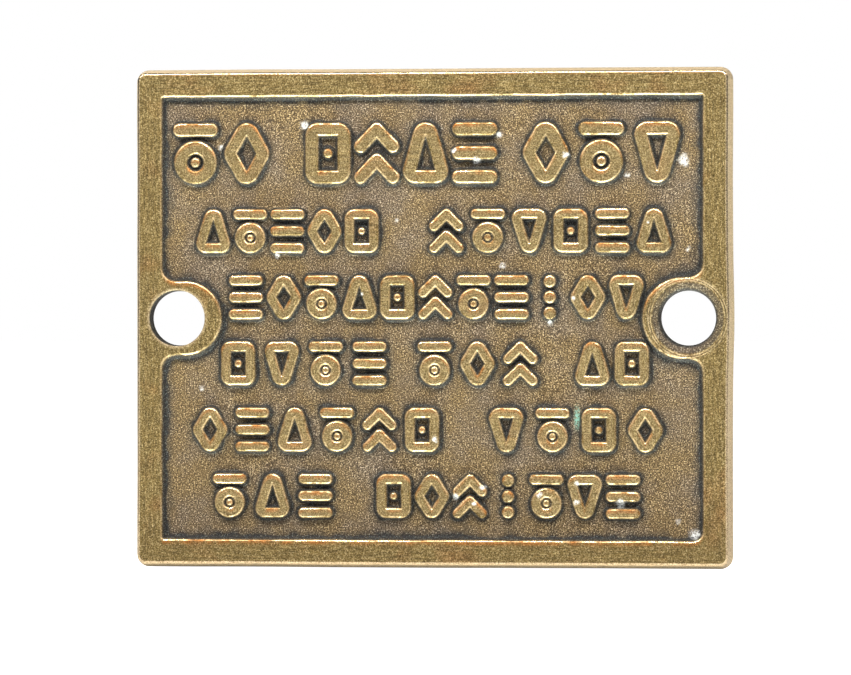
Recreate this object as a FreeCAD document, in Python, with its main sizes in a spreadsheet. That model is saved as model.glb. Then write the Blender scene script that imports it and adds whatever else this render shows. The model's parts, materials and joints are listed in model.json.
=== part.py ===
import FreeCAD, Part
import Sketcher
import math
import os

# A cast brass instruction plate, screwed to a wall beside a push button. It stands upright as it hangs:
# +Z up, +X to the right, the front facing -Y and the back face in the plane y = 0. The origin is on the
# back face, midway between the two screw holes. Millimetres and degrees.

SIZES = {
    # the slab
    "plate_width": 76.2,
    "plate_height": 63.5,
    "plate_thickness": 3.2,
    "plate_corner": 1.6,
    "side_draft": 10.0,
    "front_rounding": 0.35,
    # the sunken field, measured in from the edges of the slab
    "rim_side": 3.65,
    "rim_top": 3.6,
    "rim_bottom": 3.6,
    "relief": 1.0,
    "field_corner": 0.3,
    "clogged_corner": 1.3,
    # the screw holes and the bosses around them
    "screw_spacing": 65.0,
    "screw_hole_radius": 3.57,
    "left_boss_centre": -31.45,
    "left_boss_radius": 4.65,
    "left_boss_fillet": 2.1,
    "right_boss_centre": 31.9,
    "right_boss_radius": 5.1,
    "right_boss_fillet": 1.8,
    "worn_edge_width": 1.0,
    "worn_edge_depth": 0.35,
    # the raised marks: a larger set for the first row, a smaller one for the rest
    "mark_relief": 0.9,
    "title_wide": 5.7,
    "title_tall": 7.65,
    "title_stroke": 1.6,
    "title_bottom": 17.1,
    "text_wide": 4.3,
    "text_tall": 5.5,
    "text_stroke": 1.2,
    "text_bottom": 8.3,
    "row_pitch": 8.4,
    "dot_radius": 0.75,
    "dot_share": 0.35,
    "chevron_rise": 0.28,
    "ring_gap": 0.4,
}

# The inscription, row by row. Each group of marks runs from its start to its end along X, its marks
# evenly spaced.
ROWS = [
    [
        (-33.0, -20.7, "ring lozenge"),
        (-16.0, 8.4, "box chevrons triangle bars"),
        (11.7, 31.5, "lozenge ring wedge"),
    ],
    [
        (-30.0, -6.7, "triangle ring bars lozenge box"),
        (-0.2, 30.4, "chevrons ring wedge box bars triangle"),
    ],
    [
        (-25.8, 26.9, "bars lozenge ring triangle box chevrons ring bars dots lozenge wedge"),
    ],
    [
        (-26.8, -5.7, "box wedge ring bars"),
        (-1.7, 13.5, "ring lozenge chevrons"),
        (18.3, 27.6, "triangle box"),
    ],
    [
        (-30.4, 1.0, "lozenge bars triangle ring chevrons box"),
        (7.4, 29.3, "wedge ring box lozenge"),
    ],
    [
        (-27.9, -12.6, "ring triangle bars"),
        (-6.9, 26.5, "box lozenge chevrons dots ring wedge bars"),
    ],
]

DOCUMENT = FreeCAD.newDocument("instruction_plate")
SHEET = DOCUMENT.addObject("Spreadsheet::Sheet", "sizes")
OUTWARD = FreeCAD.Vector(0, -1, 0)
UPRIGHT = FreeCAD.Rotation(FreeCAD.Vector(1, 0, 0), 90)
AXIS = FreeCAD.Vector(0, 0, 1)


def fill_sheet():
    """Put every size in the sheet, each in a cell that carries its name."""
    sizes = dict(SIZES)
    for row, groups in enumerate(ROWS, start=1):
        for group, (start, end, _) in enumerate(groups, start=1):
            sizes[f"start_{row}_{group}"] = start
            sizes[f"end_{row}_{group}"] = end
    for line, (name, value) in enumerate(sizes.items(), start=1):
        SHEET.set(f"A{line}", name)
        SHEET.set(f"B{line}", str(value))
        SHEET.setAlias(f"B{line}", name)
    DOCUMENT.recompute()


def worth(expression):
    """What an expression over the sheet comes to."""
    return float(SHEET.evalExpression(expression.replace("sizes.", "")))


# --- drawing in sketches: every place and size is an expression over the sheet ---------------------


def bind(sketch, kind, picks, expression):
    """Add a dimension and drive it by its expression."""
    index = sketch.addConstraint(Sketcher.Constraint(kind, *picks, worth(expression)))
    sketch.setExpression(f"Constraints[{index}]", expression)


def pin(sketch, geometry, point, x, z):
    """Hold a point of the sketch at a place."""
    for kind, axis, expression in (("DistanceX", -2, x), ("DistanceY", -1, z)):
        if expression == "0":
            sketch.addConstraint(Sketcher.Constraint("PointOnObject", geometry, point, axis))
        else:
            bind(sketch, kind, (-1, 1, geometry, point), expression)


def add_circle(sketch, x, z, radius):
    centre = FreeCAD.Vector(worth(x), worth(z), 0)
    index = sketch.addGeometry(Part.Circle(centre, AXIS, worth(radius)))
    pin(sketch, index, 3, x, z)
    bind(sketch, "Radius", (index,), radius)


def add_path(sketch, points, closed):
    """Straight lines from point to point."""
    places = [FreeCAD.Vector(worth(x), worth(z), 0) for x, z in points]
    count = len(points) if closed else len(points) - 1
    lines = []
    for here in range(count):
        following = (here + 1) % len(points)
        lines.append(sketch.addGeometry(Part.LineSegment(places[here], places[following])))
    for here, (x, z) in enumerate(points[:count]):
        pin(sketch, lines[here], 1, x, z)
    for here in range(count - 1):
        sketch.addConstraint(Sketcher.Constraint("Coincident", lines[here], 2, lines[here + 1], 1))
    if closed:
        sketch.addConstraint(Sketcher.Constraint("Coincident", lines[-1], 2, lines[0], 1))
    else:
        pin(sketch, lines[-1], 2, *points[-1])


def add_rounded_outline(sketch, corners):
    """A rectangle with arcs at its corners, given from the bottom left and round to the right, each as
    its x, its z and its radius."""
    arcs = []
    for turn, (x, z, radius) in enumerate(corners):
        size = worth(radius)
        inward = FreeCAD.Vector(size if turn in (0, 3) else -size, size if turn < 2 else -size, 0)
        whole = Part.Circle(FreeCAD.Vector(worth(x), worth(z), 0) + inward, AXIS, size)
        begin = math.radians(180 + 90 * turn)
        arcs.append(sketch.addGeometry(Part.ArcOfCircle(whole, begin, begin + math.pi / 2)))
    sides = []
    for turn in range(4):
        following = (turn + 1) % 4
        start, end = sketch.getPoint(arcs[turn], 2), sketch.getPoint(arcs[following], 1)
        sides.append(sketch.addGeometry(Part.LineSegment(start, end)))
        sketch.addConstraint(Sketcher.Constraint("Tangent", arcs[turn], 2, sides[turn], 1))
        sketch.addConstraint(Sketcher.Constraint("Tangent", sides[turn], 2, arcs[following], 1))
    for turn, (x, z, radius) in enumerate(corners):
        level = turn in (0, 2)
        sketch.addConstraint(Sketcher.Constraint("Horizontal" if level else "Vertical", sides[turn]))
        place = z if level else x
        bind(sketch, "DistanceY" if level else "DistanceX", (-1, 1, sides[turn], 1), place)
        bind(sketch, "Radius", (arcs[turn],), radius)


def add_bar(sketch, half_length, z, radius):
    """A level bar with round ends, centred on the upright axis."""
    reach, height, size = worth(half_length), worth(z), worth(radius)
    ends = []
    for side, begin in ((1, -math.pi / 2), (-1, math.pi / 2)):
        whole = Part.Circle(FreeCAD.Vector(side * (reach - size), height, 0), AXIS, size)
        ends.append(sketch.addGeometry(Part.ArcOfCircle(whole, begin, begin + math.pi)))
    for here, there in ((0, 1), (1, 0)):
        start, end = sketch.getPoint(ends[here], 2), sketch.getPoint(ends[there], 1)
        side = sketch.addGeometry(Part.LineSegment(start, end))
        sketch.addConstraint(Sketcher.Constraint("Tangent", ends[here], 2, side, 1))
        sketch.addConstraint(Sketcher.Constraint("Tangent", side, 2, ends[there], 1))
    pin(sketch, ends[0], 3, f"{half_length} - {radius}", z)
    pin(sketch, ends[1], 3, f"-({half_length} - {radius})", z)
    bind(sketch, "Radius", (ends[0],), radius)


# --- the plate -------------------------------------------------------------------------------------


def front_sketch(body, name, height):
    """A sketch parallel to the wall, `height` in front of the back face."""
    sketch = body.newObject("Sketcher::SketchObject", name)
    plane = next(p for p in body.Origin.OriginFeatures if p.Role == "XZ_Plane")
    sketch.AttachmentSupport = [(plane, "")]
    sketch.MapMode = "FlatFace"
    sketch.setExpression("AttachmentOffset.Base.z", height)
    return sketch


def feature(body, kind, name, profile, length, **settings):
    """A pad or pocket of a sketch."""
    item = body.newObject(kind, name)
    item.Profile = profile
    profile.Visibility = False
    if length:
        item.setExpression("Length", length)
    for key, value in settings.items():
        setattr(item, key, value)
    return item


def cut(body, item):
    """Recompute after a pocket and stop if it took nothing away."""
    before = item.BaseFeature.Shape.Volume
    DOCUMENT.recompute()
    if body.Shape.Volume > before - 1:
        raise RuntimeError(f"{item.Label} cut nothing")


def edges_where(item, test):
    """The names of a feature's edges that pass a test."""
    return [f"Edge{number}" for number, edge in enumerate(item.Shape.Edges, start=1) if test(edge)]


def dress(body, kind, name, test, expressions, **settings):
    """A fillet or chamfer on the edges that pass a test."""
    base = body.Tip
    names = edges_where(base, test)
    if not names:
        raise RuntimeError(f"{name} found no edges")
    item = body.newObject(kind, name)
    item.Base = (base, names)
    for key, value in settings.items():
        setattr(item, key, value)
    for key, expression in expressions.items():
        item.setExpression(key, expression)
    DOCUMENT.recompute()
    return item


def stands_beside_boss(side):
    """Whether an edge is one where a boss meets the wall of the rim, on the side given."""
    def test(edge):
        box = edge.BoundBox
        upright = box.YLength > 0.9 * worth("relief") and box.XLength < 0.01 and box.ZLength < 0.01
        near_mid_height = abs(box.Center.z) < 2 * worth("right_boss_radius")
        return upright and near_mid_height and side * box.Center.x > worth("screw_spacing / 4")
    return test


def runs_round_front(edge):
    """Whether an edge is part of the outline of the front face."""
    box = edge.BoundBox
    flat = box.YLength < 0.01 and abs(box.YMin + worth("plate_thickness")) < 0.01
    inset = worth("plate_thickness * tan(side_draft)") + 0.01
    wide = max(abs(box.XMin), abs(box.XMax)) > worth("plate_width / 2") - inset - worth("plate_corner")
    high = max(abs(box.ZMin), abs(box.ZMax)) > worth("plate_height / 2") - inset - worth("plate_corner")
    return flat and (wide or high)


def rings_right_hole(edge):
    """Whether an edge is the front edge of the right screw hole."""
    box = edge.BoundBox
    in_front = abs(box.YMin + worth("plate_thickness")) < 0.01 and box.YLength < 0.01
    same_radius = abs(box.ZLength - worth("2 * screw_hole_radius")) < 0.01
    return in_front and same_radius and box.Center.x > 0


def make_plate():
    """Slab, sunken field, two bosses and two screw holes, all one casting."""
    body = DOCUMENT.addObject("PartDesign::Body", "cast_plate")
    body.Label = "cast_plate"
    body.Placement = FreeCAD.Placement()

    outline = front_sketch(body, "outline", "0 mm")
    half_width, half_height = "sizes.plate_width / 2", "sizes.plate_height / 2"
    corner = "sizes.plate_corner"
    add_rounded_outline(outline, [
        (f"-{half_width}", f"-{half_height}", corner),
        (half_width, f"-{half_height}", corner),
        (half_width, half_height, corner),
        (f"-{half_width}", half_height, corner),
    ])
    slab = feature(body, "PartDesign::Pad", "slab", outline, "sizes.plate_thickness")
    slab.setExpression("TaperAngle", "-sizes.side_draft")
    DOCUMENT.recompute()

    recess = front_sketch(body, "recess", "sizes.plate_thickness")
    left, right = f"-({half_width} - sizes.rim_side)", f"{half_width} - sizes.rim_side"
    bottom, top = f"-({half_height} - sizes.rim_bottom)", f"{half_height} - sizes.rim_top"
    add_rounded_outline(recess, [
        (left, bottom, "sizes.field_corner"),
        (right, bottom, "sizes.clogged_corner"),
        (right, top, "sizes.field_corner"),
        (left, top, "sizes.field_corner"),
    ])
    cut(body, feature(body, "PartDesign::Pocket", "sunken_field", recess, "sizes.relief"))

    bosses = front_sketch(body, "boss_outlines", "sizes.plate_thickness - sizes.relief")
    for side in ("left", "right"):
        add_circle(bosses, f"sizes.{side}_boss_centre", "0", f"sizes.{side}_boss_radius")
    feature(body, "PartDesign::Pad", "screw_bosses", bosses, "sizes.relief")
    DOCUMENT.recompute()
    for name, side in (("left", -1), ("right", 1)):
        radius = {"Radius": f"sizes.{name}_boss_fillet"}
        dress(body, "PartDesign::Fillet", f"{name}_boss_fillets", stands_beside_boss(side), radius)
    dress(body, "PartDesign::Fillet", "front_edge", runs_round_front, {"Radius": "sizes.front_rounding"})

    holes = front_sketch(body, "hole_outlines", "sizes.plate_thickness")
    for place in ("-sizes.screw_spacing / 2", "sizes.screw_spacing / 2"):
        add_circle(holes, place, "0", "sizes.screw_hole_radius")
    cut(body, feature(body, "PartDesign::Pocket", "screw_holes", holes, None, Type="ThroughAll"))
    worn = {"Size": "sizes.worn_edge_width", "Size2": "sizes.worn_edge_depth"}
    dress(body, "PartDesign::Chamfer", "worn_edge", rings_right_hole, worn, ChamferType="Two distances")
    return body


# --- the raised marks ------------------------------------------------------------------------------


def upright_sketch(name):
    """A sketch of its own for one mark, which stands on z = 0 and is centred on x = 0."""
    sketch = DOCUMENT.addObject("Sketcher::SketchObject", name)
    sketch.Placement = FreeCAD.Placement(FreeCAD.Vector(), UPRIGHT)
    return sketch


def raised(name, face):
    """A sketch or face raised to the height of the relief."""
    solid = DOCUMENT.addObject("Part::Extrusion", name)
    solid.Base = face
    solid.DirMode = "Custom"
    solid.Dir = OUTWARD
    solid.setExpression("LengthFwd", "sizes.mark_relief")
    solid.Solid = True
    return solid


def thickened(name, sketch, width):
    """A path widened all round: an open path on both its sides, a closed one outward only."""
    band = DOCUMENT.addObject("Part::Offset2D", name)
    band.Source = sketch
    band.setExpression("Value", width)
    band.Mode = "Pipe"
    band.Join = "Arc"
    band.Fill = True
    return band


def loop_mark(name, points, stroke):
    """A closed outline of one stroke's width, drawn by its inner edge."""
    sketch = upright_sketch(f"{name}_path")
    add_path(sketch, points, closed=True)
    return raised(name, thickened(f"{name}_band", sketch, stroke))


def lozenge(name, wide, tall, stroke):
    reach = f"({wide} / 2 - {stroke})"
    middle = f"{tall} / 2"
    points = [("0", stroke), (reach, middle), ("0", f"{tall} - {stroke}"), (f"-{reach}", middle)]
    return loop_mark(name, points, stroke)


def triangle(name, wide, tall, stroke):
    reach = f"({wide} / 2 - {stroke})"
    return loop_mark(name, [(f"-{reach}", stroke), (reach, stroke), ("0", f"{tall} - {stroke}")], stroke)


def wedge(name, wide, tall, stroke):
    reach, top = f"({wide} / 2 - {stroke})", f"{tall} - {stroke}"
    return loop_mark(name, [("0", stroke), (reach, top), (f"-{reach}", top)], stroke)


def box(name, wide, tall, stroke):
    """A box with a dot in it."""
    reach, top = f"({wide} / 2 - {stroke})", f"{tall} - {stroke}"
    corners = [(f"-{reach}", stroke), (reach, stroke), (reach, top), (f"-{reach}", top)]
    frame = loop_mark(f"{name}_frame", corners, stroke)
    sketch = upright_sketch(f"{name}_dot_outline")
    add_circle(sketch, "0", f"{tall} / 2", f"{stroke} * sizes.dot_share")
    return gathered(name, [frame, raised(f"{name}_dot", sketch)])


def ring(name, wide, tall, stroke):
    """A ring round a dot, under a level bar."""
    sketch = upright_sketch(f"{name}_outline")
    radius = f"({tall} - {stroke} * (1 + sizes.ring_gap)) / 2"
    for size in (radius, f"{radius} - {stroke}", f"{stroke} * sizes.dot_share"):
        add_circle(sketch, "0", radius, size)
    add_bar(sketch, f"{wide} / 2", f"{tall} - {stroke} / 2", f"{stroke} / 2")
    return raised(name, sketch)


def bars(name, wide, tall, stroke):
    """Three level bars."""
    sketch = upright_sketch(f"{name}_outline")
    for height in (f"{stroke} / 2", f"{tall} / 2", f"{tall} - {stroke} / 2"):
        add_bar(sketch, f"{wide} / 2", height, f"{stroke} / 2")
    return raised(name, sketch)


def chevrons(name, wide, tall, stroke):
    """Two chevrons, one over the other, pointing up."""
    sketch = upright_sketch(f"{name}_path")
    reach, rise = f"({wide} / 2 - {stroke} / 2)", f"{tall} * sizes.chevron_rise"
    for foot in (f"{stroke} / 2", f"{tall} - {stroke} / 2 - {rise}"):
        add_path(sketch, [(f"-{reach}", foot), ("0", f"{foot} + {rise}"), (reach, foot)], closed=False)
    return raised(name, thickened(f"{name}_band", sketch, f"{stroke} / 2"))


def dots(name, wide, tall, stroke):
    """Three dots in a column."""
    sketch = upright_sketch(f"{name}_outline")
    for height in ("sizes.dot_radius", f"{tall} / 2", f"{tall} - sizes.dot_radius"):
        add_circle(sketch, "0", height, "sizes.dot_radius")
    return raised(name, sketch)


MARKS = {
    "ring": ring,
    "lozenge": lozenge,
    "box": box,
    "chevrons": chevrons,
    "triangle": triangle,
    "bars": bars,
    "wedge": wedge,
    "dots": dots,
}


def gathered(name, items):
    group = DOCUMENT.addObject("Part::Compound", name)
    group.Links = items
    return group


def make_marks(face):
    """One of each mark that this size of the inscription uses."""
    groups = ROWS[:1] if face == "title" else ROWS[1:]
    used = sorted({kind for row in groups for _, _, kinds in row for kind in kinds.split()})
    sizes = [f"sizes.{face}_{part}" for part in ("wide", "tall", "stroke")]
    return {kind: MARKS[kind](f"{face}_{kind}", *sizes) for kind in used}


def make_group(row, group, kinds, face, marks):
    """One group of marks: linked copies in a line on the sunken field."""
    name = f"line_{row}_word_{group}"
    wide = f"sizes.{face}_wide"
    span = f"(sizes.end_{row}_{group} - sizes.start_{row}_{group} - {wide})"
    links = []
    for place, kind in enumerate(kinds):
        link = DOCUMENT.addObject("App::Link", f"{name}_mark_{place + 1}")
        link.LinkedObject = marks[kind]
        link.setExpression("Placement.Base.x", f"{wide} / 2 + {span} * {place} / {len(kinds) - 1}")
        links.append(link)
    item = gathered(name, links)
    bottom = "sizes.title_bottom" if face == "title" else f"sizes.text_bottom - {row - 2} * sizes.row_pitch"
    item.setExpression("Placement.Base.x", f"sizes.start_{row}_{group}")
    item.setExpression("Placement.Base.y", "-(sizes.plate_thickness - sizes.relief)")
    item.setExpression("Placement.Base.z", bottom)
    return item


def make_inscription():
    marks = {face: make_marks(face) for face in ("title", "text")}
    items = []
    for row, groups in enumerate(ROWS, start=1):
        face = "title" if row == 1 else "text"
        for group, (_, _, kinds) in enumerate(groups, start=1):
            items.append(make_group(row, group, kinds.split(), face, marks[face]))
    return items


# --- checking and writing --------------------------------------------------------------------------


def check(items):
    """Stop unless every object computed and every sub-part is a sound solid."""
    failed = [o.Name for o in DOCUMENT.Objects if "Invalid" in o.State or "Error" in o.State]
    if failed:
        raise RuntimeError("not computed: " + ", ".join(failed))
    for item in items:
        if item.Shape.isNull() or not item.Shape.isValid() or not item.Shape.Solids:
            raise RuntimeError(f"{item.Label} has no sound shape")


def write(items):
    os.makedirs("parts", exist_ok=True)
    for item in items:
        item.Shape.exportStep(f"parts/{item.Label}.step")
        box = item.Shape.BoundBox
        print(f"{item.Label}: {len(item.Shape.Solids)} solids, {item.Shape.Volume:.1f} mm3, "
              f"{box.XLength:.2f} x {box.YLength:.2f} x {box.ZLength:.2f} mm")


fill_sheet()
subparts = [make_plate()] + make_inscription()
DOCUMENT.recompute()
check(subparts)
write(subparts)
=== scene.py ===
import json
import math

import bpy
import numpy as np
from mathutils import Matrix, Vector
from mathutils.geometry import delaunay_2d_cdt


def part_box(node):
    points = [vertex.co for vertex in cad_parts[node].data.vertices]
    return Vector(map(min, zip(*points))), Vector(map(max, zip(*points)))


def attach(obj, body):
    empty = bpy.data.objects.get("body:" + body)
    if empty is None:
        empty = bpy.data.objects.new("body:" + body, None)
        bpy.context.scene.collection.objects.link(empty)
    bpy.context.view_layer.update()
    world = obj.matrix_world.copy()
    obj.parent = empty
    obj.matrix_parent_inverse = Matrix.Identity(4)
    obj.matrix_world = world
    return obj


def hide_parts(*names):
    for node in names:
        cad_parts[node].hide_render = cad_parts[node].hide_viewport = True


# A cast brass instruction plate, worn and patinated. The shapes are worked out in millimetres, as heights
# in front of the back face over a place (x, z) on the plate, and turned into metres when a mesh is made.

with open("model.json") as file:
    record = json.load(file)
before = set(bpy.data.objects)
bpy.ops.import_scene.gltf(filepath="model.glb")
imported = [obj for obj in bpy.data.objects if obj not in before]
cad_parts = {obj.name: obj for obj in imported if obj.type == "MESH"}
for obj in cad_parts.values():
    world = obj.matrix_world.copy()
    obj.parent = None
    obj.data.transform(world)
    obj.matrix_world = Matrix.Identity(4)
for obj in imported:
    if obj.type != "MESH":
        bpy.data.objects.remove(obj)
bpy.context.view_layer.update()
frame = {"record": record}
MM = 0.001

# --- driving dimensions, from the frame -----------------------------------------------------------

LOW, HIGH = (np.array(corner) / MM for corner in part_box("cast_plate"))
HALF_WIDTH = (HIGH[0] - LOW[0]) / 2
HALF_HEIGHT = (HIGH[2] - LOW[2]) / 2
THICKNESS = HIGH[1] - LOW[1]
MOUNTS = {mount["name"]: mount for mount in frame["record"]["mounts"]}
HOLES = {side: np.array(MOUNTS[f"screw_hole_{side}"]["pos_m"])[[0, 2]] / MM for side in ("left", "right")}
HOLE_RADIUS = MOUNTS["screw_hole_left"]["dims"]["r_mm"]

# How much narrower a screw hole's radius gets towards the back.
HOLE_TAPER = 0.12

RELIEF = 1.0
FIELD = THICKNESS - RELIEF
MARK_RELIEF = 0.9
CORNER = 1.6
SIDE_DRAFT = math.radians(10)
FRONT_ROUNDING = 0.35
# The rim's mean face, just low enough to keep its unevenness within the thickness.
RIM_FACE = THICKNESS - 0.02
RIM_SIDE, RIM_TOP, RIM_BOTTOM = 3.65, 3.6, 3.6
FIELD_CORNER, CLOGGED_CORNER = 0.3, 1.3
BOSSES = {
    "left": {"x": -31.45, "radius": 4.65, "fillet": 2.7, "wear": 0.18},
    "right": {"x": 31.9, "radius": 5.1, "fillet": 2.4, "wear": 1.0},
}

# Rings that a turning screw head has cut round the right hole: where they start and end, out from the hole.
RINGS_START, RINGS_END, RING_PITCH = 1.0, 1.75, 0.3

# The section of a cast edge: a rounded shoulder, a steep wall and a fillet at its foot.
SHOULDER, FOOT, STEEP = 0.36, 0.24, math.radians(66)
SHOULDER_START = -0.26

# The marks' feet: how far they run on under the field, how far the plate dips there to let them sink in,
# and how deep below the field their closed bottoms lie.
FOOT_MARGIN, FOOT_DIP, ROOT_DEPTH = 0.04, 0.05, 0.25

# The right side swells beside its screw hole, and every side wavers.
SWELLING, SWELLING_REACH, WAVER = 0.18, 6, 0.03

LINES = {
    "line_1_word_1": "ring lozenge",
    "line_1_word_2": "box chevrons triangle bars",
    "line_1_word_3": "lozenge ring wedge",
    "line_2_word_1": "triangle ring bars lozenge box",
    "line_2_word_2": "chevrons ring wedge box bars triangle",
    "line_3_word_1": "bars lozenge ring triangle box chevrons ring bars dots lozenge wedge",
    "line_4_word_1": "box wedge ring bars",
    "line_4_word_2": "ring lozenge chevrons",
    "line_4_word_3": "triangle box",
    "line_5_word_1": "lozenge bars triangle ring chevrons box",
    "line_5_word_2": "wedge ring box lozenge",
    "line_6_word_1": "ring triangle bars",
    "line_6_word_2": "box lozenge chevrons dots ring wedge bars",
}
TITLE = {"wide": 5.7, "stroke": 1.6}
TEXT = {"wide": 4.3, "stroke": 1.2}
DOT_SHARE, CHEVRON_RISE, RING_GAP, DOT_RADIUS = 0.35, 0.28, 0.4, 0.75

# --- noise and distances: x and z are arrays in millimetres ---------------------------------------


def noise(x, z, size, seed):
    """Smooth noise between -1 and 1 that varies over `size` millimetres."""
    cells = 257
    lattice = np.random.default_rng(seed).uniform(-1, 1, (cells, cells))
    u, v = np.asarray(x) / size + 1000, np.asarray(z) / size + 1000
    i, j = np.floor(u).astype(int), np.floor(v).astype(int)
    f, g = u - i, v - j
    f, g = f * f * (3 - 2 * f), g * g * (3 - 2 * g)
    near, far = i % cells, (i + 1) % cells
    low, high = j % cells, (j + 1) % cells
    bottom = lattice[near, low] * (1 - f) + lattice[far, low] * f
    top = lattice[near, high] * (1 - f) + lattice[far, high] * f
    return bottom * (1 - g) + top * g


def step(value, start, end):
    """Rises smoothly from 0 at start to 1 at end."""
    t = np.clip((value - start) / (end - start), 0, 1)
    return t * t * (3 - 2 * t)


def rounded_rectangle(x, z, left, right, bottom, top, radius):
    across = np.abs(x - (left + right) / 2) - (right - left) / 2 + radius
    up = np.abs(z - (bottom + top) / 2) - (top - bottom) / 2 + radius
    inside = np.minimum(np.maximum(across, up), 0)
    return inside + np.hypot(np.maximum(across, 0), np.maximum(up, 0)) - radius


def filleted_union(a, b, radius):
    """Two shapes joined, with a fillet where they meet."""
    corner = np.hypot(np.maximum(radius - a, 0), np.maximum(radius - b, 0))
    return np.maximum(radius, np.minimum(a, b)) - corner


def rim_distance(x, z):
    """How far a place is outside the raised rim and its bosses, so positive over the sunken field."""
    corner = np.where((x > 0) & (z < 0), CLOGGED_CORNER, FIELD_CORNER)
    edges = (RIM_SIDE - HALF_WIDTH, HALF_WIDTH - RIM_SIDE, RIM_BOTTOM - HALF_HEIGHT, HALF_HEIGHT - RIM_TOP)
    raised = -rounded_rectangle(x, z, *edges, corner)
    for boss in BOSSES.values():
        disc = np.hypot(x - boss["x"], z) - boss["radius"]
        raised = filleted_union(raised, disc, boss["fillet"])
    return raised + 0.035 * noise(x, z, 2.5, 11)


def segment(x, z, a, b):
    """Distance from the straight line between a and b."""
    along = np.array(b) - np.array(a)
    t = ((x - a[0]) * along[0] + (z - a[1]) * along[1]) / max(along @ along, 1e-9)
    t = np.clip(t, 0, 1)
    return np.hypot(x - a[0] - t * along[0], z - a[1] - t * along[1])


def polygon(x, z, corners):
    """Distance from a closed outline, negative inside it."""
    away = np.full_like(x, np.inf)
    inside = np.zeros(x.shape, bool)
    for a, b in zip(corners, corners[1:] + corners[:1]):
        away = np.minimum(away, segment(x, z, a, b))
        crosses = (a[1] > z) != (b[1] > z)
        if a[1] != b[1]:
            reach = a[0] + (z - a[1]) * (b[0] - a[0]) / (b[1] - a[1])
            inside ^= crosses & (x < reach)
    return np.where(inside, -away, away)


# --- the marks: each gives the distance out of its strokes, over x from its middle and z from its foot ---


def loop(x, z, corners, stroke):
    return np.abs(polygon(x, z, corners) - stroke / 2) - stroke / 2


def bar(x, z, wide, height, stroke):
    reach = (wide - stroke) / 2
    return segment(x, z, (-reach, height), (reach, height)) - stroke / 2


def disc(x, z, height, radius):
    return np.hypot(x, z - height) - radius


def lozenge(x, z, wide, tall, stroke):
    reach = wide / 2 - stroke
    return loop(x, z, [(0, stroke), (reach, tall / 2), (0, tall - stroke), (-reach, tall / 2)], stroke)


def triangle(x, z, wide, tall, stroke):
    reach = wide / 2 - stroke
    return loop(x, z, [(-reach, stroke), (reach, stroke), (0, tall - stroke)], stroke)


def wedge(x, z, wide, tall, stroke):
    return triangle(x, tall - z, wide, tall, stroke)


def box(x, z, wide, tall, stroke):
    reach, top = wide / 2 - stroke, tall - stroke
    frame_edge = loop(x, z, [(-reach, stroke), (reach, stroke), (reach, top), (-reach, top)], stroke)
    return np.minimum(frame_edge, disc(x, z, tall / 2, stroke * DOT_SHARE))


def ring(x, z, wide, tall, stroke):
    radius = (tall - stroke * (1 + RING_GAP)) / 2
    band = np.abs(disc(x, z, radius, radius - stroke / 2)) - stroke / 2
    dot = disc(x, z, radius, stroke * DOT_SHARE)
    return np.minimum(np.minimum(band, dot), bar(x, z, wide, tall - stroke / 2, stroke))


def bars(x, z, wide, tall, stroke):
    heights = (stroke / 2, tall / 2, tall - stroke / 2)
    return np.minimum.reduce([bar(x, z, wide, height, stroke) for height in heights])


def chevrons(x, z, wide, tall, stroke):
    reach, rise = (wide - stroke) / 2, tall * CHEVRON_RISE
    arms = []
    for foot in (stroke / 2, tall - stroke / 2 - rise):
        for side in (-reach, reach):
            arms.append(segment(x, z, (side, foot), (0, foot + rise)) - stroke / 2)
    return np.minimum.reduce(arms)


def dots(x, z, wide, tall, stroke):
    heights = (DOT_RADIUS, tall / 2, tall - DOT_RADIUS)
    return np.minimum.reduce([disc(x, z, height, DOT_RADIUS) for height in heights])


MARKS = {
    "ring": ring,
    "lozenge": lozenge,
    "box": box,
    "chevrons": chevrons,
    "triangle": triangle,
    "bars": bars,
    "wedge": wedge,
    "dots": dots,
}
FAR = 9.0


def word_box(node):
    """Left, right, bottom and top of a group of marks."""
    low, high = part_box(node)
    return low[0] / MM, high[0] / MM, low[2] / MM, high[2] / MM


def word_distance(node, x, z):
    """How far a place is outside the marks of one group."""
    left, right, bottom, top = word_box(node)
    size = TITLE if node.startswith("line_1_") else TEXT
    kinds = LINES[node].split()
    pitch = (right - left - size["wide"]) / (len(kinds) - 1)
    away = np.full(x.shape, FAR)
    for place, kind in enumerate(kinds):
        middle = left + size["wide"] / 2 + place * pitch
        near = (np.abs(x - middle) < size["wide"] / 2 + 2) & (z > bottom - 2) & (z < top + 2)
        if near.any():
            out = MARKS[kind](x[near] - middle, z[near] - bottom, size["wide"], top - bottom, size["stroke"])
            away[near] = np.minimum(away[near], out)
    return away + 0.03 * noise(x, z, 1.3, 12)


def marks_distance(x, z):
    """How far a place is outside the nearest mark, up to FAR."""
    return np.minimum.reduce([word_distance(node, x, z) for node in LINES])


# --- heights in front of the back face ------------------------------------------------------------


def section_spans(drop):
    """Where the shoulder ends, the wall ends and the foot ends, for an edge of this height."""
    fall = drop - (SHOULDER + FOOT) * (1 - math.cos(STEEP))
    shoulder_end = SHOULDER_START + SHOULDER * math.sin(STEEP)
    wall_end = shoulder_end + fall / math.tan(STEEP)
    return shoulder_end, wall_end, wall_end + FOOT * math.sin(STEEP)


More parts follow.
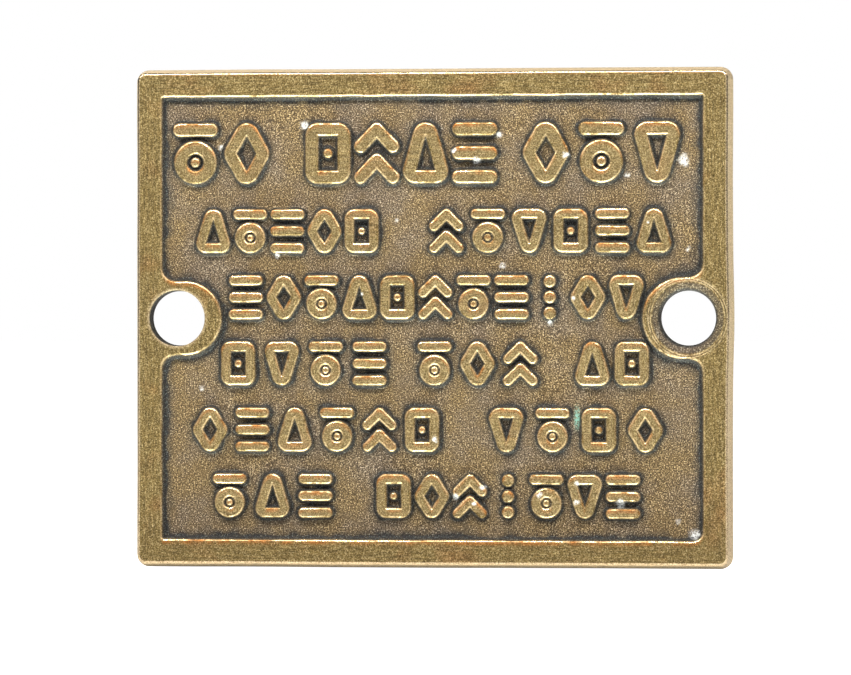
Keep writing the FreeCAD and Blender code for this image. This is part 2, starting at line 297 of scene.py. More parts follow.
def section(out, drop):
    """Height above the foot, at a distance out from the nominal edge."""
    shoulder_end, wall_end, foot_end = section_spans(drop)
    on_shoulder = np.clip(out - SHOULDER_START, 0, SHOULDER * math.sin(STEEP))
    on_foot = np.clip(foot_end - out, 0, FOOT * math.sin(STEEP))
    on_wall = np.clip(out - shoulder_end, 0, wall_end - shoulder_end)
    shoulder = SHOULDER - np.sqrt(SHOULDER**2 - on_shoulder**2)
    foot = FOOT * (1 - math.cos(STEEP)) - (FOOT - np.sqrt(FOOT**2 - on_foot**2))
    return drop - shoulder - on_wall * math.tan(STEEP) - foot


def field_level(x, z):
    return FIELD + 0.03 * noise(x, z, 7, 1) + 0.018 * noise(x, z, 1.6, 2) + 0.012 * noise(x, z, 0.7, 3)


def rim_level(x, z):
    return RIM_FACE + 0.018 * noise(x, z, 5, 4) + 0.008 * noise(x, z, 0.9, 5)


def hole_distance(side, x, z):
    """How far a place is outside a screw hole."""
    return np.hypot(x - HOLES[side][0], z - HOLES[side][1]) - HOLE_RADIUS


def ring_share(away):
    """Where the turned rings are, at a distance from the right hole."""
    return step(away, RINGS_START, RINGS_START + 0.1) * (1 - step(away, RINGS_END - 0.25, RINGS_END))


def hole_wear(x, z):
    """What a screw head has worn away round each hole: a dished edge, and rings on the right boss."""
    lost = np.zeros_like(x)
    for side, boss in BOSSES.items():
        away = hole_distance(side, x, z)
        lost += 0.35 * boss["wear"] * np.clip(1 - away / boss["wear"], 0, 1)**2
    right = hole_distance("right", x, z)
    return lost + 0.02 * ring_share(right) * (1 + np.sin(right * 2 * math.pi / RING_PITCH))


def plate_height(x, z):
    """The front of the casting, without the marks. It dips under them, so that their feet sink into it."""
    low = field_level(x, z) - FOOT_DIP * (1 - step(marks_distance(x, z), 0.3, 0.5))
    raised = section(rim_distance(x, z), RELIEF) / RELIEF
    return low + (rim_level(x, z) - low) * raised - hole_wear(x, z)


def word_height(node, x, z):
    """The top of one group of marks. Its edge runs just under the field."""
    out = word_distance(node, x, z)
    foot_end = section_spans(MARK_RELIEF)[2]
    sunk = 0.03 * step(out, foot_end - 0.06, foot_end + FOOT_MARGIN)
    crown = 0.01 * noise(x, z, 0.8, 6) * (out < 0)
    return field_level(x, z) + section(out, MARK_RELIEF) - sunk + crown


# --- wear, soiling and painted light and shade, from 0 to 1, kept on the points of each mesh ------

# Pale deposits left in the casting: place and radius.
DEPOSITS = [
    (-16.2, 24.5, 0.7), (2.9, 21.2, 0.5), (5.8, 20.0, 0.8), (17.1, 20.6, 0.6),
    (24.9, 18.0, 0.5), (32.0, 19.9, 1.1), (8.6, 23.2, 0.5), (9.0, 6.6, 0.6),
    (-19.7, 8.0, 0.5), (0.5, -15.4, 0.6), (3.2, -22.6, 0.6), (6.6, -21.5, 0.6),
    (5.5, -23.5, 0.5), (13.8, -22.3, 0.7), (18.5, -20.9, 0.5), (18.5, -23.3, 0.6),
    (24.1, -23.4, 1.0), (33.4, -27.2, 1.0), (15.0, -0.6, 0.4), (32.5, 8.7, 0.5),
    (31.3, -25.7, 0.5), (-29.5, -9.0, 0.5), (-4.5, 12.3, 0.4), (27.5, 12.1, 0.4),
    (-8.8, 3.1, 0.4), (-27.0, 21.8, 0.4), (18.1, 2.5, 0.4),
]
# A green streak: its middle, its half width and its half height.
VERDIGRIS = (18.5, -12.6, 0.35, 1.5)
# The painted orange fringe of the top glint reaches this far down from an edge that faces up.
WARM_SHIFT = 0.55
# Over this much on both sides of a corner, upright brushing passes into level brushing.
BRUSH_TURN = 3


def tilt(x, z):
    """1 on an edge that faces up or down, 0 on one that faces sideways."""
    reach = 0.05
    upper = np.minimum(rim_distance(x, z + reach), marks_distance(x, z + reach))
    lower = np.minimum(rim_distance(x, z - reach), marks_distance(x, z - reach))
    return np.clip(np.abs(upper - lower) / (2 * reach), 0, 1)


def wear_dirt_and_painted_light(x, z):
    """The worn, grimy and stained shares of the casting at places on its front, with painted shade beside its
    walls, painted highlights on its edges and sides, and a painted orange fringe under edges that face up.
    """
    rim, marks = rim_distance(x, z), marks_distance(x, z)
    shoulder_end = section_spans(RELIEF)[0]
    out = np.minimum(rim, marks)
    reach = 1 + 0.4 * noise(x, z, 1.1, 21) + 0.3 * noise(x, z, 3.5, 22)
    clear = step(out, 0.0, 0.12)
    # Dark bands beside the walls of the rim and the marks: partly grit packed in the corners, partly painted
    # shade where the walls shade the field.
    near_dark_rim = 1 - step(rim, 0.55 * reach, 0.9 * reach)
    near_dark_marks = 1 - step(marks, 0.32 * reach, 0.62 * reach)
    near_dark = np.maximum(near_dark_rim, near_dark_marks)
    spread_rim = 1 - step(rim, 0.8 * reach, 1.6 * reach)
    spread_marks = 1 - step(marks, 0.6 * reach, 1.1 * reach)
    spread = np.maximum(spread_rim, 0.7 * spread_marks)
    grime_and_shade = clear * np.maximum(near_dark, 0.5 * spread)
    worn = 1 - step(out, shoulder_end - 0.16, shoulder_end + 0.02)
    rubbed_and_glint = np.clip(0.65 + 0.8 * noise(x, z, 2.2, 24) + 0.7 * noise(x, z, 0.5, 25), 0, 1)
    # A painted highlight: a pale band along the shoulders of the rim and the marks, partly brass worn bright
    # and partly a painted glint.
    below_top = step(out, SHOULDER_START, SHOULDER_START + 0.08)
    edge = below_top * (1 - step(out, shoulder_end - 0.16, shoulder_end - 0.04))
    polish_and_glint = np.zeros_like(x)
    on_edge = edge > 0
    # The painted glint is strongest where an edge faces up or down, towards the lamps above and below the
    # plate.
    polish_and_glint[on_edge] = (edge * rubbed_and_glint)[on_edge] * (0.3 + 0.7 * tilt(x[on_edge], z[on_edge]))
    higher = z + WARM_SHIFT
    above = np.minimum(rim_distance(x, higher), marks_distance(x, higher))
    above = np.maximum(above, outline_distance(x, z + 0.9))
    polish_and_glint = np.maximum(polish_and_glint, 0.12 * (marks < SHOULDER_START))
    # A painted orange fringe of the top glint, in a band just under edges that face up.
    painted_warm_fringe = step(above, -0.2, 0.25) * step(-out, -0.05, 0.1)

    for side, boss in BOSSES.items():
        away = hole_distance(side, x, z)
        dish = 1 - step(away, boss["wear"] - 0.08, boss["wear"] + 0.05)
        lip = 1 - step(away, 0.1 * boss["wear"], 0.35 * boss["wear"])
        worn *= 1 - 0.75 * dish
        # The dished edges and the right hole's lip darker: partly grit, partly painted shade.
        grime_and_shade = np.maximum(grime_and_shade, np.maximum(0.5 * dish, lip * (boss["wear"] > 0.5)))
        if boss["wear"] < 0.5:
            # A thin pale ring round the left hole's edge: brass worn bright, with a painted highlight.
            polish_and_glint = np.maximum(polish_and_glint, 1 - step(away, 0.12, 0.22))
    # The right hole's rings: painted highlights on their crests and painted shade, with grit, in their
    # troughs.
    turned = hole_distance("right", x, z)
    crests = (0.5 - 0.5 * np.sin(turned * 2 * math.pi / RING_PITCH))**2
    polish_and_glint = np.maximum(polish_and_glint, ring_share(turned) * crests * rubbed_and_glint)
    grime_and_shade = np.maximum(grime_and_shade, 0.4 * ring_share(turned) * (1 - crests))

    stains = np.zeros_like(x)
    for place_x, place_z, radius in DEPOSITS:
        away = np.hypot(x - place_x, z - place_z) / (0.7 * radius * (1 + 0.45 * noise(x, z, 0.35, 23)))
        stains = np.maximum(stains, 1 - step(away, 0.35, 1.1))
    middle_x, middle_z, across, along = VERDIGRIS
    green = 1 - step(np.hypot((x - middle_x) / across, (z - middle_z) / along), 0.4, 1.3)
    diagonal = HALF_WIDTH - HALF_HEIGHT
    return {
        "worn": worn,
        "grime_and_shade": grime_and_shade,
        "deposit": stains,
        "verdigris": green,
        "polish_and_glint": polish_and_glint * (1 - grime_and_shade),
        "painted_warm_fringe": painted_warm_fringe,
        "bare_and_side_sheen": np.zeros_like(x),
        "upright": step(np.abs(x) - np.abs(z), diagonal - BRUSH_TURN, diagonal + BRUSH_TURN),
    }


# --- building meshes ------------------------------------------------------------------------------


def ring_edges(ring):
    numbers = [int(number) for number in ring]
    return list(zip(numbers, numbers[1:] + numbers[:1]))


def enclosed(triangles, fixed):
    """The triangles inside closed rings of fixed edges. From the outside, each ring crossed changes sides."""
    fences = {frozenset(edge) for edge in fixed}
    beside = {}
    for number, face in enumerate(triangles.tolist()):
        for edge in zip(face, face[1:] + face[:1]):
            beside.setdefault(frozenset(edge), []).append(number)
    inside = {}
    waiting = []
    for edge, faces in beside.items():
        if len(faces) == 1 and faces[0] not in inside:
            inside[faces[0]] = edge in fences
            waiting.append(faces[0])
    while waiting:
        here = waiting.pop()
        face = triangles[here].tolist()
        for edge in zip(face, face[1:] + face[:1]):
            edge = frozenset(edge)
            for other in beside[edge]:
                if other not in inside:
                    inside[other] = inside[here] ^ (edge in fences)
                    waiting.append(other)
    return triangles[[number for number in range(len(triangles)) if inside[number]]]


class Shell:
    """A closed mesh put together from rings of points and triangulated faces, in millimetres."""

    def __init__(self):
        self.points = np.zeros((0, 3))
        self.faces = []

    def add(self, x, height, z):
        """Add points given by their place and their height in front of the wall, and return their numbers."""
        x, height, z = np.broadcast_arrays(x, height, z)
        first = len(self.points)
        self.points = np.vstack([self.points, np.column_stack([x, -height, z])])
        return np.arange(first, len(self.points))

    def bridge(self, inner, outer):
        """Join two rings with the same number of points."""
        for here in range(len(inner)):
            after = (here + 1) % len(inner)
            self.faces.append((int(outer[here]), int(outer[after]), int(inner[after]), int(inner[here])))

    def fill(self, numbers, fixed, keep=None, flip=False):
        """Triangulate points with fixed edges. What stays is inside the closed rings that those edges make,
        or where keep(x, z) of a triangle's middle says so."""
        order = {int(number): place for place, number in enumerate(numbers)}
        edges = [(order[a], order[b]) for a, b in fixed]
        flat = [Vector(place) for place in self.points[numbers][:, [0, 2]]]
        vertices, _, triangles, sources, _, _ = delaunay_2d_cdt(flat, edges, [], 0, 1e-6)
        names = np.array([int(numbers[source[0]]) for source in sources])
        corners = np.array(triangles)
        if keep:
            middles = np.array(vertices)[corners].mean(axis=1)
            kept = names[corners[keep(middles[:, 0], middles[:, 1])]]
        else:
            kept = enclosed(names[corners], fixed)
        if flip:
            kept = kept[:, ::-1]
        self.faces += [tuple(face) for face in kept.tolist()]

    def rim(self):
        """The edges with a face on one side only, in the order of that face."""
        edges = {(a, b) for face in self.faces for a, b in zip(face, face[1:] + face[:1])}
        return [(a, b) for a, b in edges if (b, a) not in edges]

    def unpinch(self):
        """Take away the faces at any point where the rim meets itself, until it is made of plain rings."""
        pinched = True
        while pinched:
            starts = sorted(a for a, _ in self.rim())
            pinched = {here for here, there in zip(starts, starts[1:]) if here == there}
            self.faces = [face for face in self.faces if pinched.isdisjoint(face)]

    def piece(self, name, node, attributes, normals=None):
        """Make the Blender object that stands for a CAD node."""
        mesh = bpy.data.meshes.new(name)
        mesh.from_pydata((self.points * MM).tolist(), [], self.faces)
        for key, values in attributes.items():
            layer = mesh.attributes.new(key, "FLOAT", "POINT")
            layer.data.foreach_set("value", values.astype(np.float32))
        mesh.shade_smooth()
        if normals is not None:
            mesh.normals_split_custom_set_from_vertices(normals.tolist())
        item = bpy.data.objects.new(name, mesh)
        bpy.context.scene.collection.objects.link(item)
        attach(item, "root")
        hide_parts(node)
        return item


def triangular_grid(left, right, bottom, top, spacing):
    rows = np.arange(bottom, top, spacing * math.sqrt(3) / 2)
    columns = np.arange(left, right, spacing)
    x, z = np.meshgrid(columns, rows)
    x = x + (np.arange(len(rows)) % 2)[:, None] * spacing / 2
    return x.ravel(), z.ravel()


def snapped(x, z, distance, levels, spacing):
    """Move points that lie near a level of the distance onto it, so that edges run true."""
    levels = np.array(levels)
    reach = 0.01
    for _ in range(2):
        out = distance(x, z)
        slope_x = (distance(x + reach, z) - distance(x - reach, z)) / (2 * reach)
        slope_z = (distance(x, z + reach) - distance(x, z - reach)) / (2 * reach)
        steep = np.maximum(slope_x**2 + slope_z**2, 0.25)
        level = levels[np.abs(out[:, None] - levels).argmin(axis=1)]
        move = np.where(np.abs(out - level) < spacing / 2, level - out, 0)
        x, z = x + move * slope_x / steep, z + move * slope_z / steep
    return x, z


def upright_normals(height, x, z):
    """The outward normals of a front surface, from its heights."""
    reach = 0.015
    slope_x = (height(x + reach, z) - height(x - reach, z)) / (2 * reach)
    slope_z = (height(x, z + reach) - height(x, z - reach)) / (2 * reach)
    normals = np.column_stack([-slope_x, -np.ones_like(x), -slope_z])
    return normals / np.linalg.norm(normals, axis=1)[:, None]


# --- the plate ------------------------------------------------------------------------------------


def bulge(x, z):
    """How far the right side swells beside its screw hole, and how far the sides waver."""
    swelling = SWELLING * np.exp(-(z / SWELLING_REACH)**2) * (x > 0)
    return swelling + WAVER * noise(z, 0 * z, 9, 31) * np.sign(x)


def sway(x):
    """How far the top and the bottom waver."""
    return WAVER * noise(x, 0 * x, 11, 32)


def outline_distance(x, z):
    edges = (-HALF_WIDTH, HALF_WIDTH, -HALF_HEIGHT, HALF_HEIGHT)
    return rounded_rectangle(x - bulge(x, z), z - sway(x), *edges, CORNER)


def outline_ring(inset):
    """Places along the outline of the plate, moved in by an inset."""
    spacing = 0.35
    corners = []
    for turn, (side_x, side_z) in enumerate([(-1, -1), (1, -1), (1, 1), (-1, 1)]):
        centre = np.array([side_x * (HALF_WIDTH - CORNER), side_z * (HALF_HEIGHT - CORNER)])
        angles = np.radians(np.linspace(180, 270, 9) + 90 * turn)
        corners.append(centre + (CORNER - inset) * np.column_stack([np.cos(angles), np.sin(angles)]))
    places = []
    for corner, following in zip(corners, corners[1:] + corners[:1]):
        count = int(np.linalg.norm(following[0] - corner[-1]) / spacing)
        shares = np.linspace(0, 1, count + 1)[1:-1, None]
        places += [corner, corner[-1] + shares * (following[0] - corner[-1])]
    x, z = np.vstack(places).T
    return x + bulge(x, z), z + sway(x)


def circle_ring(centre, radius, count=120):
    angles = np.linspace(0, 2 * math.pi, count, endpoint=False)
    return centre[0] + radius * np.cos(angles), centre[1] + radius * np.sin(angles)


def front_points():
    """The places that the front is meshed on, close together along edges and round the right hole."""
    wide, fine = 0.34, 0.13
    shoulder_end, wall_end, foot_end = section_spans(RELIEF)
    middle_shoulder = (SHOULDER_START + shoulder_end) / 2
    levels = [SHOULDER_START, middle_shoulder, shoulder_end, wall_end, foot_end - 0.11, foot_end]
    x, z = triangular_grid(-HALF_WIDTH, HALF_WIDTH, -HALF_HEIGHT, HALF_HEIGHT, fine)
    out = rim_distance(x, z)
    band = (out > SHOULDER_START - fine) & (out < foot_end + fine)
    edge_x, edge_z = snapped(x[band], z[band], rim_distance, levels, fine)
    x, z = triangular_grid(-HALF_WIDTH, HALF_WIDTH, -HALF_HEIGHT, HALF_HEIGHT, wide)
    out = rim_distance(x, z)
    plain = (out < SHOULDER_START - fine) | (out > foot_end + fine)
    x, z = np.append(edge_x, x[plain]), np.append(edge_z, z[plain])
    clear = outline_distance(x, z) < -(FRONT_INSET + 0.12)
    worn = HOLE_RADIUS + RINGS_END
    for side in HOLES:
        away = np.hypot(x - HOLES[side][0], z - HOLES[side][1])
        clear &= away > (worn if side == "right" else HOLE_RADIUS + BOSSES[side]["wear"] + 0.1)
    x, z = x[clear], z[clear]
    for radius in np.arange(HOLE_RADIUS + BOSSES["right"]["wear"] + 0.07, worn, 0.07):
        ring_x, ring_z = circle_ring(HOLES["right"], radius, 240)
        x, z = np.append(x, ring_x), np.append(z, ring_z)
    return x, z


DRAFT_SHARE = math.tan(SIDE_DRAFT)
ROUNDING_START = RIM_FACE - FRONT_ROUNDING * (1 - math.sin(SIDE_DRAFT))
FRONT_INSET = ROUNDING_START * DRAFT_SHARE + FRONT_ROUNDING * math.cos(SIDE_DRAFT)


def side_section():
    """The inset and height of each ring up the side: the back edge, the drafted side, the front edge."""
    rings = [(0.16, 0.0), (0.05, 0.05), (0.01, 0.15)]
    rings += [(height * DRAFT_SHARE, height) for height in np.linspace(0.4, ROUNDING_START, 7)]
    for angle in np.linspace(SIDE_DRAFT, math.pi / 2, 8)[1:]:
        inset = FRONT_INSET - FRONT_ROUNDING * math.cos(angle)
        rings.append((inset, RIM_FACE - FRONT_ROUNDING * (1 - math.sin(angle))))
    return rings


def hole_section(wear):
    """The radius and height of each ring down a screw hole, from the worn front edge to the back."""
    rings = []
    for share in np.linspace(1, 0, 7):
        rings.append((HOLE_RADIUS + wear * share, None))
    for height in np.linspace(FIELD + 0.3, 0.2, 8):
        rings.append((HOLE_RADIUS - HOLE_TAPER * (1 - height / THICKNESS), height))
    return rings + [(HOLE_RADIUS - HOLE_TAPER + 0.03, 0.06), (HOLE_RADIUS - HOLE_TAPER + 0.12, 0.0)]


def make_plate():
    shell = Shell()
    rings = []
    for inset, height in side_section():
        x, z = outline_ring(inset)
        rough = 0.03 * noise(x + z, np.full_like(x, height * 2), 1.5, 41) * (0.3 < height < ROUNDING_START)
        rings.append(shell.add(x - rough * np.sign(x) * (np.abs(x) > HALF_WIDTH - 0.5), height, z))
    for lower, upper in zip(rings, rings[1:]):
        shell.bridge(upper, lower)
    back_rings, front_rings, dished = [rings[0]], [rings[-1]], []
    for side, boss in BOSSES.items():
        down = []
        for radius, height in hole_section(boss["wear"]):
            x, z = circle_ring(HOLES[side], radius)
            down.append(shell.add(x, plate_height(x, z) if height is None else height, z))
            if height is None:
                dished.append(down[-1])
        for upper, lower in zip(down, down[1:]):
            shell.bridge(lower, upper)
        front_rings.append(down[0])
        back_rings.append(down[-1])

    x, z = front_points()
    inner = shell.add(x, plate_height(x, z), z)
    front = np.concatenate([*front_rings, inner])
    shell.fill(front, [edge for ring in front_rings for edge in ring_edges(ring)])

    back_spacing, back_margin = 1.0, 0.7
    x, z = triangular_grid(-HALF_WIDTH, HALF_WIDTH, -HALF_HEIGHT, HALF_HEIGHT, back_spacing)
    clear = outline_distance(x, z) < -back_margin
    for side in HOLES:
        clear &= np.hypot(x - HOLES[side][0], z - HOLES[side][1]) > HOLE_RADIUS + 0.5
    x, z = x[clear], z[clear]
    hollows = 0.05 + 0.03 * noise(x, z, 6, 42) + 0.02 * noise(x, z, 1.7, 43)
    back = np.concatenate([*back_rings, shell.add(x, hollows, z)])
    shell.fill(back, [edge for ring in back_rings for edge in ring_edges(ring)], flip=True)

    places_x, places_z = shell.points[:, 0], shell.points[:, 2]
    shares = wear_dirt_and_painted_light(places_x, places_z)
    unseen = ~np.isin(np.arange(len(shell.points)), np.concatenate([front, *dished]))
    for share in shares.values():
        share[unseen] = 0
    heights = -shell.points[:, 1]
    flank = unseen & (outline_distance(places_x, places_z) > -1) & (heights > 0.12)
    # The sides: clean brass, lightened into a painted reflection of the pale surroundings.
    shares["bare_and_side_sheen"][flank] = 1
    # A painted highlight along the rounded front edge.
    shares["polish_and_glint"][flank & (heights > ROUNDING_START + 0.08)] = 0.9
    shares["grime_and_shade"][unseen & ~flank & (heights > 0.15)] = 0.95
    shares["worn"][unseen & ~flank & (heights < 0.15)] = 0.3
    normals = np.zeros_like(shell.points)
    normals[inner] = upright_normals(plate_height, *shell.points[inner][:, [0, 2]].T)
    return shell.piece("plate_casting", "cast_plate", shares, normals)


# --- the marks ------------------------------------------------------------------------------------


def make_word(node):
    """One group of marks: a closed solid whose foot spreads out into the field."""
    left, right, bottom, top = word_box(node)
    spacing, margin = 0.11, 0.9
    shoulder_end, wall_end, foot_end = section_spans(MARK_RELIEF)
    rim = foot_end + FOOT_MARGIN
    middle_shoulder = (SHOULDER_START + shoulder_end) / 2
    levels = [SHOULDER_START, middle_shoulder, shoulder_end, wall_end, (wall_end + foot_end) / 2, rim]

    def distance(x, z):
        return word_distance(node, x, z)

    x, z = triangular_grid(left - margin, right + margin, bottom - margin, top + margin, spacing)
    near = distance(x, z) < rim + spacing
    x, z = snapped(x[near], z[near], distance, levels, spacing)
    out = distance(x, z)
    kept = out < rim + 0.01
    x, z = x[kept], z[kept]

    def covered(middle_x, middle_z):
        return distance(middle_x, middle_z) < rim

    shell = Shell()
    upper = shell.add(x, word_height(node, x, z), z)
    shell.fill(upper, [], covered)
    shell.unpinch()
    edge = shell.rim()
    ends = sorted({number for pair in edge for number in pair})
    lower = dict(zip(ends, shell.add(x[ends], FIELD - ROOT_DEPTH, z[ends]).tolist()))
    shell.faces += [(b, a, lower[a], lower[b]) for a, b in edge]
    shell.fill(np.array(list(lower.values())), [(lower[a], lower[b]) for a, b in edge], flip=True)
    normals = np.zeros_like(shell.points)
    normals[upper] = upright_normals(lambda at_x, at_z: word_height(node, at_x, at_z), x, z)
    return shell.piece(node + "_cast", node, wear_dirt_and_painted_light(shell.points[:, 0], shell.points[:, 2]), normals)


# --- materials ------------------------------------------------------------------------------------


def linear(red, green, blue):
    """A colour given as it looks on a screen, from 0 to 255, as the linear light that Blender works in."""
    shares = [part / 255 for part in (red, green, blue)]
    return (*[part / 12.92 if part < 0.04 else ((part + 0.055) / 1.055) ** 2.4 for part in shares], 1)


def shades(*stops):
    """Stops of a ramp: each its place and its colour on a screen."""
    return [(at, linear(*colour)) for at, *colour in stops]


class Nodes:
    """Short ways to add nodes to a material."""

    def __init__(self, name):
        self.material = bpy.data.materials.new(name)
        self.material.use_nodes = True
        self.tree = self.material.node_tree
        self.shader = self.tree.nodes["Principled BSDF"]
        self.place = self.tree.nodes.new("ShaderNodeTexCoord").outputs["Object"]

    def plug(self, value, socket):
        if isinstance(value, bpy.types.NodeSocket):
            self.tree.links.new(value, socket)
        else:
            socket.default_value = value

    def share(self, name):
        """One of the shares kept on the mesh."""
        node = self.tree.nodes.new("ShaderNodeAttribute")
        node.attribute_name = name
        return node.outputs["Fac"]

    def noise(self, size, detail=2.0, rough=0.5, stretch=(1, 1, 1), turn=0.0):
        """Noise that varies over `size` millimetres, stretched along the axes and turned on the plate."""
        mapping = self.tree.nodes.new("ShaderNodeMapping")
        mapping.inputs["Scale"].default_value = [1 / part for part in stretch]
        mapping.inputs["Rotation"].default_value = (0, turn, 0)
        self.plug(self.place, mapping.inputs["Vector"])
        node = self.tree.nodes.new("ShaderNodeTexNoise")
        node.inputs["Scale"].default_value = 1 / (size * MM)
        node.inputs["Detail"].default_value = detail
        node.inputs["Roughness"].default_value = rough
        self.plug(mapping.outputs["Vector"], node.inputs["Vector"])
        return node.outputs["Fac"]

    def ramp(self, value, *stops):
        """Colours, or greys given as numbers, at places along a value."""
        node = self.tree.nodes.new("ShaderNodeValToRGB")
        points = node.color_ramp.elements
        while len(points) < len(stops):
            points.new(0.5)
        for point, (at, colour) in zip(points, stops):
            point.position = at
            point.color = colour if isinstance(colour, tuple) else (colour, colour, colour, 1)
        self.plug(value, node.inputs["Fac"])
        return node.outputs["Color"]

    def math(self, kind, a, b=0.0, limit=False):
        node = self.tree.nodes.new("ShaderNodeMath")
        node.operation = kind
        node.use_clamp = limit
        self.plug(a, node.inputs[0])
        self.plug(b, node.inputs[1])
        return node.outputs[0]

    def mix(self, share, a, b, kind="MIX"):
        node = self.tree.nodes.new("ShaderNodeMix")
        node.data_type = "RGBA"
        node.blend_type = kind
        self.plug(share, node.inputs["Factor"])
        self.plug(a, node.inputs["A"])
        self.plug(b, node.inputs["B"])
        return node.outputs["Result"]

    def blend(self, share, a, b):
        """A number between a and b."""
        node = self.tree.nodes.new("ShaderNodeMix")
        self.plug(share, node.inputs["Factor"])
        self.plug(a, node.inputs["A"])
        self.plug(b, node.inputs["B"])
        return node.outputs["Result"]

    def bump(self, height, depth, strength=1.0):
        """Raise the surface by depth millimetres times the height."""
        node = self.tree.nodes.new("ShaderNodeBump")
        node.inputs["Strength"].default_value = strength
        node.inputs["Distance"].default_value = depth * MM
        self.plug(height, node.inputs["Height"])
        return node.outputs["Normal"]


def brass_colour(nodes, grain, cloud):
    """Worn metal: olive gold in fine grains, with orange patches."""
    olive = shades((0.32, 55, 45, 26), (0.44, 98, 85, 51), (0.55, 132, 116, 73), (0.68, 197, 185, 143))
    gold = nodes.ramp(grain, *olive)
    orange = nodes.ramp(grain, *shades((0.34, 62, 38, 22), (0.46, 112, 80, 47), (0.66, 184, 140, 92)))
    return nodes.mix(nodes.ramp(cloud, (0.55, 0.0), (0.75, 0.5)), gold, orange)


def patina_colour(nodes, grain, cloud):
    """The sunken field: brown oxide, greyer and more purple in clouds."""
    oxide = shades((0.35, 18, 14, 9), (0.44, 60, 49, 30), (0.55, 110, 92, 57), (0.66, 220, 204, 162))
    dust = shades((0.35, 18, 16, 19), (0.46, 64, 57, 49), (0.55, 104, 92, 74), (0.66, 210, 202, 186))
    brown = nodes.ramp(grain, *oxide)
    grey = nodes.ramp(grain, *dust)
    return nodes.mix(nodes.ramp(cloud, (0.4, 0.0), (0.65, 0.8)), brown, grey)


def cast_brass():
    nodes = Nodes("cast_brass")
    grain = nodes.noise(0.17, detail=3, rough=0.8)
    cloud = nodes.noise(5.0, detail=3)
    smudge = nodes.noise(1.3, detail=3, rough=0.6)

    worn = nodes.share("worn")
    patches = nodes.math("MULTIPLY", nodes.math("SUBTRACT", smudge, 0.5), 0.35)
    patchy = nodes.math("ADD", worn, patches, limit=True)
    brass = brass_colour(nodes, grain, cloud)
    across, along = nodes.noise(0.2, stretch=(14, 1, 1)), nodes.noise(0.2, stretch=(1, 1, 14))
    brushing = nodes.blend(nodes.share("upright"), across, along)
    streaks = nodes.ramp(brushing, (0.3, 0.62), (0.5, 1.0), (0.7, 1.35))
    brass = nodes.mix(1.0, brass, streaks, "MULTIPLY")
    colour = nodes.mix(patchy, patina_colour(nodes, grain, cloud), brass)

    # The painted orange fringe under edges that face up.
    warm_fringe = nodes.math("MULTIPLY", nodes.share("painted_warm_fringe"), nodes.ramp(smudge, (0.35, 0.1), (0.62, 0.85)))
    amber = nodes.ramp(grain, *shades((0.32, 92, 50, 22), (0.66, 206, 136, 66)))
    colour = nodes.mix(warm_fringe, colour, amber)
    # A pale base colour for brass worn bright and for painted highlights and glints on the edges.
    polish_and_glint = nodes.share("polish_and_glint")
    rubbed_and_glint = nodes.ramp(grain, *shades((0.36, 170, 138, 84), (0.56, 250, 234, 190)))
    colour = nodes.mix(polish_and_glint, colour, rubbed_and_glint)

    # A pale base colour on the sides: clean brass with a painted reflection.
    bare_and_side_sheen = nodes.ramp(grain, *shades((0.36, 130, 116, 88), (0.46, 184, 168, 134), (0.6, 232, 216, 182)))
    colour = nodes.mix(nodes.share("bare_and_side_sheen"), colour, bare_and_side_sheen)

    # Near black beside the walls and round the holes: partly grit, partly painted shade.
    dark_breakup = nodes.ramp(nodes.noise(0.35, detail=3, rough=0.75), (0.36, 0.7), (0.48, 1.0))
    grime_and_shade = nodes.math("MULTIPLY", nodes.share("grime_and_shade"), dark_breakup, limit=True)
    soot_and_shade = nodes.ramp(grain, *shades((0.42, 3, 4, 6), (0.56, 20, 25, 29), (0.7, 130, 142, 142)))
    colour = nodes.mix(grime_and_shade, colour, soot_and_shade)

    flecks = nodes.ramp(nodes.noise(0.25, detail=3, rough=0.8), (0.4, 0.0), (0.52, 1.0))
    deposit = nodes.math("MULTIPLY", nodes.share("deposit"), flecks, limit=True)
    colour = nodes.mix(deposit, colour, linear(224, 232, 236))
    green = nodes.math("MULTIPLY", nodes.share("verdigris"), flecks, limit=True)
    colour = nodes.mix(green, colour, linear(122, 178, 166))
    nodes.plug(colour, nodes.shader.inputs["Base Color"])

    metal = nodes.blend(polish_and_glint, nodes.blend(patchy, 0.35, 0.75), 1.0)
    dull = nodes.math("MAXIMUM", grime_and_shade, deposit)
    nodes.plug(nodes.blend(dull, metal, 0.05), nodes.shader.inputs["Metallic"])
    shine = nodes.blend(polish_and_glint, nodes.blend(patchy, 0.58, 0.45), 0.22)
    nodes.plug(nodes.blend(dull, shine, 0.75), nodes.shader.inputs["Roughness"])

    pits = nodes.noise(0.22, detail=3, rough=0.75)
    nodes.plug(nodes.bump(pits, 0.035, 0.7), nodes.shader.inputs["Normal"])
    return nodes.material


# --- the scene ------------------------------------------------------------------------------------


def make_floor():
    """A pale floor just under the plate."""
    bpy.ops.mesh.primitive_plane_add(size=60, location=(0, 0, LOW[2] * MM - 0.0002))
    floor = bpy.context.object
    floor.name = "floor"
    nodes = Nodes("floor")
    nodes.shader.inputs["Base Color"].default_value = (0.86, 0.86, 0.86, 1)
    nodes.shader.inputs["Roughness"].default_value = 0.6
    nodes.shader.inputs["Emission Color"].default_value = (1, 1, 1, 1)
    seen = nodes.tree.nodes.new("ShaderNodeLightPath").outputs["Is Camera Ray"]
    nodes.plug(nodes.blend(seen, 0.2, 1.0), nodes.shader.inputs["Emission Strength"])
    floor.data.materials.append(nodes.material)


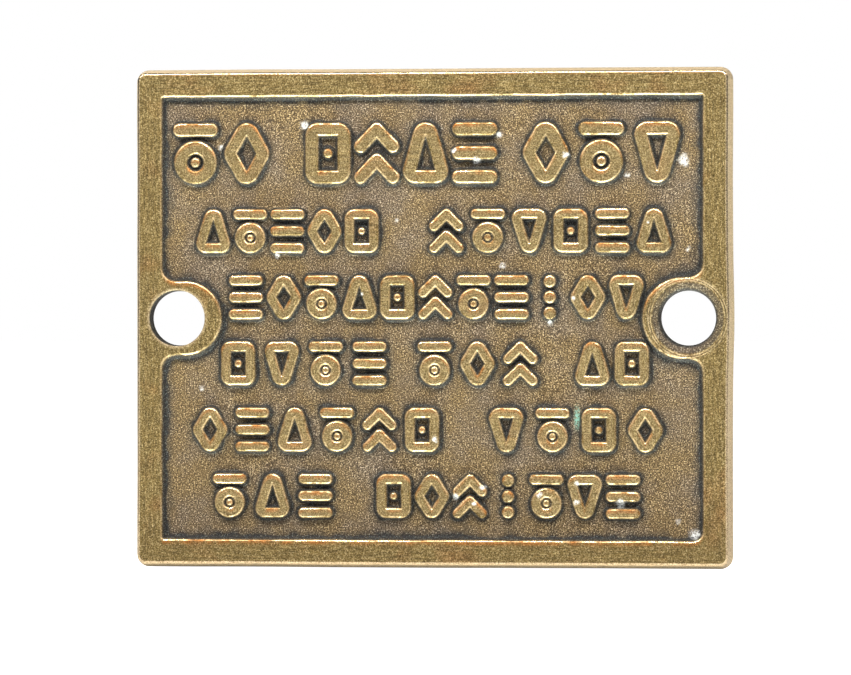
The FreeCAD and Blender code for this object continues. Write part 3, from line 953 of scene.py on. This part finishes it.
def make_world():
    """White behind the object, and a softer grey all round it."""
    world = bpy.data.worlds.new("studio")
    world.use_nodes = True
    bpy.context.scene.world = world
    tree = world.node_tree
    seen = tree.nodes["Background"]
    seen.inputs["Color"].default_value = (1, 1, 1, 1)
    around = tree.nodes.new("ShaderNodeBackground")
    around.inputs["Color"].default_value = (0.08, 0.08, 0.09, 1)
    path = tree.nodes.new("ShaderNodeLightPath")
    either = tree.nodes.new("ShaderNodeMixShader")
    tree.links.new(path.outputs["Is Camera Ray"], either.inputs["Fac"])
    tree.links.new(around.outputs[0], either.inputs[1])
    tree.links.new(seen.outputs[0], either.inputs[2])
    tree.links.new(either.outputs[0], tree.nodes["World Output"].inputs["Surface"])


def lamp(name, place, towards, size, power, colour, spread=180):
    """A rectangular lamp that lies along X, and shines within a spread of degrees."""
    light = bpy.data.lights.new(name, "AREA")
    light.shape = "RECTANGLE"
    light.size, light.size_y = size
    light.energy = power
    light.spread = math.radians(spread)
    light.color = colour
    item = bpy.data.objects.new(name, light)
    item.location = place
    item.rotation_euler = Vector(towards).to_track_quat("-Z", "Y").to_euler()
    bpy.context.scene.collection.objects.link(item)


def make_camera():
    """A long lens almost straight in front, a little to the right, so that the right side shows."""
    distance, azimuth, frame_width = 0.6, math.radians(6), 0.1077
    aim = Vector((-0.67, LOW[1], -2.46)) * MM
    camera = bpy.data.cameras.new("camera")
    camera.sensor_width = 36
    camera.lens = camera.sensor_width * distance / frame_width
    camera.clip_start = 0.01
    item = bpy.data.objects.new("camera", camera)
    away = Vector((math.sin(azimuth), -math.cos(azimuth), 0))
    item.location = aim + away * distance
    item.rotation_euler = away.to_track_quat("Z", "Y").to_euler()
    bpy.context.scene.collection.objects.link(item)
    bpy.context.scene.camera = item


make_camera()
make_floor()
make_world()
lamp("upper_strip", (0, -0.16, 0.2), (0, 0.16, -0.2), (0.5, 0.03), 1.95, (1.0, 0.9, 0.8))
lamp("lower_glow", (0, -0.028, LOW[2] * MM + 0.0005), (0, 0, 1), (0.25, 0.045), 0.2, (1.0, 1.0, 0.84), 75)
lamp("front_fill", (0.1, -0.7, 0.1), (-0.1, 0.7, -0.1), (0.5, 0.4), 0.2, (1, 1, 1))
lamp("back_fill", (-0.3, 0.6, 0.3), (0.3, -0.6, -0.3), (0.5, 0.5), 0.6, (1, 1, 1))
bpy.context.scene.view_settings.view_transform = "Standard"

pieces = [make_plate()] + [make_word(node) for node in LINES]
brass = cast_brass()
for piece in pieces:
    piece.data.materials.append(brass)
